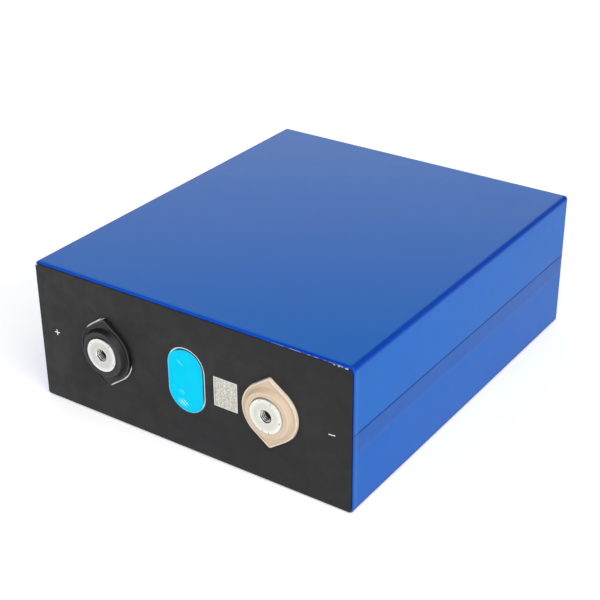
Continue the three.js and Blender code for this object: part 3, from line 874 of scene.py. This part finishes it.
SIGN_X = 76.6
SIGN_TURN = 4
PLUS_Y = 1.3
PLUS_STROKE = 0.5
PLUS_REACH = 1.5  # half the length of a sign's bar
MINUS_Y = 0.7
MINUS_STROKE = 0.4
MINUS_REACH = 1.7


def placed(outline, x, y, turn=0.0):
    angle = math.radians(turn)
    turned = np.array([[math.cos(angle), math.sin(angle)], [-math.sin(angle), math.cos(angle)]])
    return outline @ turned + np.array([x, y])


def centred_rectangle(node, corner, grow=0.0):
    """A rounded rectangle that fills a CAD node's box, grown by grow each way, in its place."""
    low, high = upright_box(node)
    size = high - low
    made = rounded_rectangle(size.x + 2 * grow, size.y + 2 * grow, corner)
    return placed(made, (low.x + high.x) / 2, (low.y + high.y) / 2)


def top_sheet():
    window = centred_rectangle("marking_label", WINDOW_ROUND, WINDOW_GAP)
    edge = centred_rectangle("top_sheet", SHEET_ROUND)
    holes = [
        placed(leaf(-POSITIVE_LEAF_CLEARANCE), -TERMINAL_X, FACE_Y),
        placed(leaf(-LEAF_CLEARANCE), TERMINAL_X, FACE_Y),
        placed(stadium(*VENT_CUTOUT), *VENT_CUTOUT_PLACE),
        window,
    ]
    piece = flat_plate("top_sheet_skin", [edge, *holes], SHEET_LOW.z, SHEET_HIGH.z)
    fit(piece, "black_sheet", ["top_sheet"])


def cutout_edge():
    """The sheet's cut edge round the positive terminal, painted white on two sides as a highlight
    for the lit metal seen in the gap.
    """
    inner = leaf(EDGE_RING_INSIDE - POSITIVE_LEAF_CLEARANCE)
    outer = leaf(-EDGE_RING_OUTSIDE - POSITIVE_LEAF_CLEARANCE)
    painted_highlight = np.zeros(len(outer))
    for angle, reach in HIGHLIGHT_ARCS:
        towards = math.radians(angle)
        direction = (math.cos(towards), math.sin(towards))
        cosine = outer @ direction / np.linalg.norm(outer, axis=1)
        away = np.degrees(np.arccos(np.clip(cosine, -1, 1)))
        painted_highlight = np.maximum(painted_highlight, np.clip((reach - away) / HIGHLIGHT_FADE, 0, 1))
    top = SHEET_HIGH.z + INK
    steps = [
        (inner, top - EDGE_RING_DEPTH),
        (inner, top - EDGE_RING_CHAMFER),
        (inner * EDGE_RING_TAPER, top),
        (outer, top),
        (outer, top - EDGE_RING_DEPTH),
    ]
    rings = [level(placed(line, -TERMINAL_X, FACE_Y), z) for line, z in steps]
    piece = loft("sheet_cutout_edge", rings, looped=True, tones=[painted_highlight] * len(rings))
    fit(piece, "black_sheet")


def marking_patch():
    outline = centred_rectangle("marking_label", PATCH_ROUND)
    piece = flat_plate("marking_patch", [outline], PATCH_LOW.z, PATCH_HIGH.z, bevel=0.03)
    fit(piece, "label", ["marking_label"])


def plus_outline():
    short = PLUS_STROKE / 2
    arm = np.array([(PLUS_REACH, -short), (PLUS_REACH, short), (short, short)])
    return np.concatenate([placed(arm, 0, 0, 90 * quarter) for quarter in range(4)])


def minus_outline():
    short = MINUS_STROKE / 2
    ends = [(-MINUS_REACH, -short), (MINUS_REACH, -short)]
    return np.array(ends + [(-x, -y) for x, y in ends])


def signs():
    """The printed plus by the positive terminal and minus by the negative one."""
    ink = white_ink()
    bottom = SHEET_HIGH.z
    for name, outline, x, y in (
        ("plus_sign", plus_outline(), -SIGN_X, PLUS_Y),
        ("minus_sign", minus_outline(), SIGN_X, MINUS_Y),
    ):
        outline = placed(outline, x, y, SIGN_TURN)
        piece = flat_plate(name, [outline], bottom, bottom + INK, bevel=0.01)
        fit(piece, "label", material=ink)


# ---- vent film ------------------------------------------------------------------------------


VENT_STEP = 0.22  # how deep the step inside the border is
VENT_SAG = 0.3
VENT_SAG_RINGS = 14
VENT_SLIT = 0.3  # half the width of the innermost ring
VENT_LIGHT = (0.8, 0.6)  # the direction in which the border's painted highlight is brightest


def vent_film():
    """The rim lies flat on the cover; inside a step the film sags a little into the vent."""
    low, high = upright_box("vent_film")
    width = high.x - low.x
    length = high.y - low.y
    top = high.z
    outline = stadium(width, length)
    shine = outline @ np.array(VENT_LIGHT) / np.linalg.norm(outline, axis=1)
    border = np.clip(shine * 3 + 0.5, 0.5, 1.0)  # painted as bare metal, with a painted highlight brightest above and to the right
    crease = -np.clip(shine * 3 - 0.2, 0.1, 1.0)  # and a dark line of painted shade inside it
    steps = [
        (0.06, 0.2, border),
        (0.0, 0.14, border),
        (0.0, 0.06, border),
        (0.06, 0.0, border),
        (0.5, 0.0, border),
        (0.52, 0.02, crease),
        (0.8, 0.1, crease),
        (1.25, 0.18, crease),
        (1.6, VENT_STEP, 0.0),
    ]
    inner = steps[-1][0]
    reach = width / 2 - VENT_SLIT
    for t in np.linspace(0.1, 1.0, VENT_SAG_RINGS):
        depth = VENT_STEP + VENT_SAG * math.sin(t * math.pi / 2)
        steps.append((inner + (reach - inner) * t, depth, 0.0))
    rings = [level(stadium(width - 2 * reach, length - 2 * reach), low.z)]
    tones = [0.0]
    for inset, depth, tone in steps:
        rings.append(level(stadium(width - 2 * inset, length - 2 * inset), top - depth))
        tones.append(tone)
    centre = np.array([(low.x + high.x) / 2, (low.y + high.y) / 2, 0])
    rings = [ring + centre for ring in rings]
    fit(loft("vent_film_skin", rings, tones=tones), "cyan_film", ["vent_film"])


# ---- terminals ------------------------------------------------------------------------------

STEM_RADIUS = 4.8
HEAD_UNDERSIDE = RIM + 1.2
CHAMFER = 0.2
FACE_EDGE = 0.35  # the rounding of the terminal's face, and the ring inside it that has a painted highlight
FACE_MIDDLE = 5.2  # the radius where the face has its plain finish
MOUTH = 3.2  # the radius of the hole's chamfer at the face
MOUTH_RIM = 0.06

THREAD_PITCH = 1.0
THREAD_CREST = 2.5
THREAD_ROOT = 3.0
THREAD_START = 0.02
THREAD_DEPTH = 6.0
THREAD_STEPS = 14  # rings in one turn of thread
FLANK_SLOPE = 1.25
CREST_FLAT = 0.12
SHADED_ROOT = 0.45  # how far down its flanks the thread has painted shade
LIT_TURN = math.radians(35)  # painted light makes the flanks brightest below and to the left
LIT_DEPTH = 1.6
LIT_FADE = 0.9
DRILL_POINT = 0.8
DRILL_TIP = 0.2


def thread_ring(z, steps=128):
    """One ring of the tapped hole and its tones: the radius follows the helix."""
    angles = np.arange(steps) * 2 * math.pi / steps
    turn = z / THREAD_PITCH - angles / (2 * math.pi)
    groove = np.abs(2 * (turn - np.floor(turn)) - 1)
    root = np.clip(groove * FLANK_SLOPE - CREST_FLAT, 0, 1)
    radius = THREAD_CREST + (THREAD_ROOT - THREAD_CREST) * root
    radius = np.maximum(radius, MOUTH - (HEIGHT - z))
    ring = np.column_stack([radius * np.cos(angles), radius * np.sin(angles), np.full(steps, z)])
    # Painted light on the flanks, and painted shade in the thread's roots.
    lit = np.clip(0.7 - 1.4 * np.sin(angles + LIT_TURN), -1.0, 1.0)
    return ring, np.where(root > SHADED_ROOT, -1.0, lit)


def terminal(name, side):
    low, _ = upright_box(f"{name}_terminal")
    turned = [
        (STEM_RADIUS - CHAMFER, low.z, 0.0),
        (STEM_RADIUS, low.z + CHAMFER, 0.0),
        (STEM_RADIUS, HEAD_UNDERSIDE, 0.0),
        (TERMINAL_RADIUS - CHAMFER, HEAD_UNDERSIDE, 0.0),
        (TERMINAL_RADIUS, HEAD_UNDERSIDE + CHAMFER, 0.0),
        (TERMINAL_RADIUS, HEIGHT - FACE_EDGE, 0.2),
        (TERMINAL_RADIUS - FACE_EDGE * 0.3, HEIGHT - FACE_EDGE * 0.3, 0.6),
        (TERMINAL_RADIUS - FACE_EDGE, HEIGHT, 0.6),
        (TERMINAL_RADIUS - FACE_EDGE * 2, HEIGHT, 0.6),
        (FACE_MIDDLE, HEIGHT, 0.0),
        (MOUTH + MOUTH_RIM, HEIGHT, 0.3),
    ]
    rings = [level(circle(radius), z) for radius, z, _ in turned]
    tones = [tone for _, _, tone in turned]
    for depth in np.arange(THREAD_START, THREAD_DEPTH, THREAD_PITCH / THREAD_STEPS):
        ring, thread_tones = thread_ring(HEIGHT - depth)
        rings.append(ring)
        # Painted shade darkens the thread deeper in the hole.
        darker = max(depth - LIT_DEPTH, 0.0) * LIT_FADE
        tones.append(np.clip(thread_tones - darker, -1.0, 1.0))
    bottom = HEIGHT - THREAD_DEPTH
    rings += [level(circle(THREAD_CREST), bottom), level(circle(DRILL_TIP), bottom - DRILL_POINT)]
    tones += [-1.0, -1.0]
    rings = [ring + np.array([side * TERMINAL_X, FACE_Y, 0]) for ring in rings]
    piece = loft(f"{name}_terminal_turned", rings, tones=tones)
    fit(piece, "aluminium", [f"{name}_terminal"], material=TURNED[name])


# ---- outer insulators -----------------------------------------------------------------------

STEM_HOLE = 5.1
FLANGE = RIM + 1.9
RIDGE = FLANGE + 0.3  # the top of the flange's raised rim
BOSS_FOOT = 12.7
BOSS_TOP = 11.0
CUP_RIM = 9.3
CUP_FLOOR = RIM + 1.0
CUP_SHIFT = (-0.13, 0.14)  # the terminal sits a little down and right in its cup
CUP_CLEARANCE = 0.2

# For each pole: its plastic, how far it is turned in degrees, and the tones of its rim's wall
# and crest, of its corners and of the boss's top.
# Tones above 0 are painted highlights, tones below 0 painted shade.
INSULATORS = {
    "positive": ("black_plastic", -1.5, -0.7, 0.5, 1.0, 0.22),
    "negative": ("tan_plastic", 0, 0.9, 0.9, 0.6, 0.05),
}


def outer_insulator(name, side):
    """A leaf-shaped flange with a raised rim, and a tapered boss that holds the terminal."""
    slot, turn, wall, crest, depth, top = INSULATORS[name]
    low, high = upright_box(f"{name}_outer_insulator")
    edge = leaf()
    if name == "positive":
        crest = crest * np.clip(edge @ (0.05, 0.035) + 0.4, 0, 1)  # painted highlight on the crest, brighter on its upper right
    cup = circle_like(edge, TERMINAL_RADIUS + CUP_CLEARANCE) + np.array(CUP_SHIFT)
    steps = [
        (circle_like(edge, STEM_HOLE), low.z, 0.0),
        (edge, low.z, wall),
        (edge, RIDGE - 0.2, wall),
        (leaf(0.05), RIDGE - 0.06, crest),
        (leaf(0.18), RIDGE, crest),
        (leaf(0.62), RIDGE, crest * 0.9),
        (leaf(0.74), RIDGE - 0.06, crest * 0.5),
        (leaf(0.82), FLANGE + 0.06, -0.7 * depth),
        (leaf(0.95), FLANGE, -0.5 * depth),
        (leaf(1.5), FLANGE, 0.0),
        (circle_like(edge, BOSS_FOOT), FLANGE, -0.2 * depth),
        (circle_like(edge, BOSS_FOOT - 0.3), FLANGE + 0.05, -depth),
        (circle_like(edge, BOSS_FOOT - 0.5), FLANGE + 0.3, -depth),
        (circle_like(edge, BOSS_FOOT - 0.8), FLANGE + 0.9, -0.9 * depth),
        (circle_like(edge, BOSS_TOP + 0.3), high.z - 0.3, -0.6 * depth),
        (circle_like(edge, BOSS_TOP + 0.15), high.z - 0.1, 0.2),
        (circle_like(edge, BOSS_TOP), high.z, top + 0.25),
        (circle_like(edge, BOSS_TOP - 0.3), high.z, top),
        (circle_like(edge, CUP_RIM), high.z, top),
        (circle_like(edge, CUP_RIM - 0.3), high.z - 0.1, 0.2),
        (cup, high.z - 0.2, -0.2),
        (cup, CUP_FLOOR, -1.0),
        (circle_like(edge, STEM_HOLE), CUP_FLOOR, -1.0),
    ]
    rings = [level(placed(line, side * TERMINAL_X, FACE_Y, turn), z) for line, z, _ in steps]
    piece = loft(f"{name}_insulator_moulded", rings, looped=True, tones=[t for _, _, t in steps])
    fit(piece, slot, [f"{name}_outer_insulator"])


# ---- camera, light and floor ----------------------------------------------------------------

AZIMUTH = math.radians(34.47)
ELEVATION = math.radians(28.22)
ROLL = math.radians(-0.43)
CAMERA = Vector((0.3293, -0.4899, 0.3493))
LENS = 81.25
SENSOR = 36

AMBIENT = 0.2
# Each softbox: its name, its direction from the cell, its distance, size and power.
SOFTBOXES = (
    ("key", (0.55, -0.5, 0.95), 1.3, (1.1, 1.1), 10.5),
    ("back_left", (-0.55, 0.73, 0.32), 1.3, (1.6, 0.5), 5),
    ("front_left", (-0.9, -0.9, 0.35), 1.4, (1.2, 0.7), 2.8),
    ("right", (1.0, -0.35, 0.45), 1.4, (0.9, 0.9), 5.2),
)
FLOOR_REACH = 4.0
FLOOR_GLOW = 0.4


def camera():
    data = bpy.data.cameras.new("camera")
    data.lens = LENS
    data.sensor_width = SENSOR
    data.clip_start = 0.01
    body = bpy.data.objects.new("camera", data)
    back = Vector(
        (
            math.sin(AZIMUTH) * math.cos(ELEVATION),
            -math.cos(AZIMUTH) * math.cos(ELEVATION),
            math.sin(ELEVATION),
        )
    )
    right = Vector((math.cos(AZIMUTH), math.sin(AZIMUTH), 0))
    up = back.cross(right)
    turned = Matrix((right, up, back)).transposed().to_4x4()
    body.matrix_world = Matrix.Translation(CAMERA) @ turned @ Matrix.Rotation(ROLL, 4, "Z")
    bpy.context.scene.collection.objects.link(body)
    bpy.context.scene.camera = body


def softbox(name, towards, distance, size, power):
    """A rectangular light placed along a direction from the cell, facing it."""
    data = bpy.data.lights.new(name, "AREA")
    data.shape = "RECTANGLE"
    data.size, data.size_y = size
    data.energy = power
    lamp = bpy.data.objects.new(name, data)
    direction = Vector(towards).normalized()
    lamp.location = Vector((0, 0, MIDDLE)) + direction * distance
    lamp.rotation_euler = direction.to_track_quat("Z", "Y").to_euler()
    bpy.context.scene.collection.objects.link(lamp)


def studio():
    world = bpy.data.worlds.new("studio")
    world.use_nodes = True
    sky = world.node_tree.nodes["Background"]
    sky.inputs["Color"].default_value = (1, 1, 1, 1)
    sky.inputs["Strength"].default_value = AMBIENT
    bpy.context.scene.world = world
    for settings in SOFTBOXES:
        softbox(*settings)


def floor():
    mesh = bmesh.new()
    bmesh.ops.create_grid(mesh, x_segments=8, y_segments=8, size=FLOOR_REACH)
    data = bpy.data.meshes.new("floor")
    mesh.to_mesh(data)
    mesh.free()
    ground = bpy.data.objects.new("floor", data)
    bpy.context.scene.collection.objects.link(ground)
    look = Look("studio_floor", roughness=0.8)
    base = look.mix(look.noise(300), (0.86, 0.86, 0.86, 1), (0.9, 0.9, 0.9, 1))
    data.materials.append(
        look.finish(Base_Color=base, Emission_Color=(1, 1, 1, 1), Emission_Strength=FLOOR_GLOW)
    )
    ground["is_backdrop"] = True


# ---- the scene ------------------------------------------------------------------------------

for part in frame["record"]["subparts"]:
    cad_mesh = frame["nodes"][part["node"]].data
    cad_mesh.materials.clear()
    cad_mesh.materials.append(LOOKS[part["material_slot"]])

camera()
studio()
floor()
wrap_film()
top_sheet()
cutout_edge()
marking_patch()
signs()
vent_film()
for pole, pole_side in (("positive", -1), ("negative", 1)):
    terminal(pole, pole_side)
    outer_insulator(pole, pole_side)

bpy.context.scene.view_settings.view_transform = "Standard"
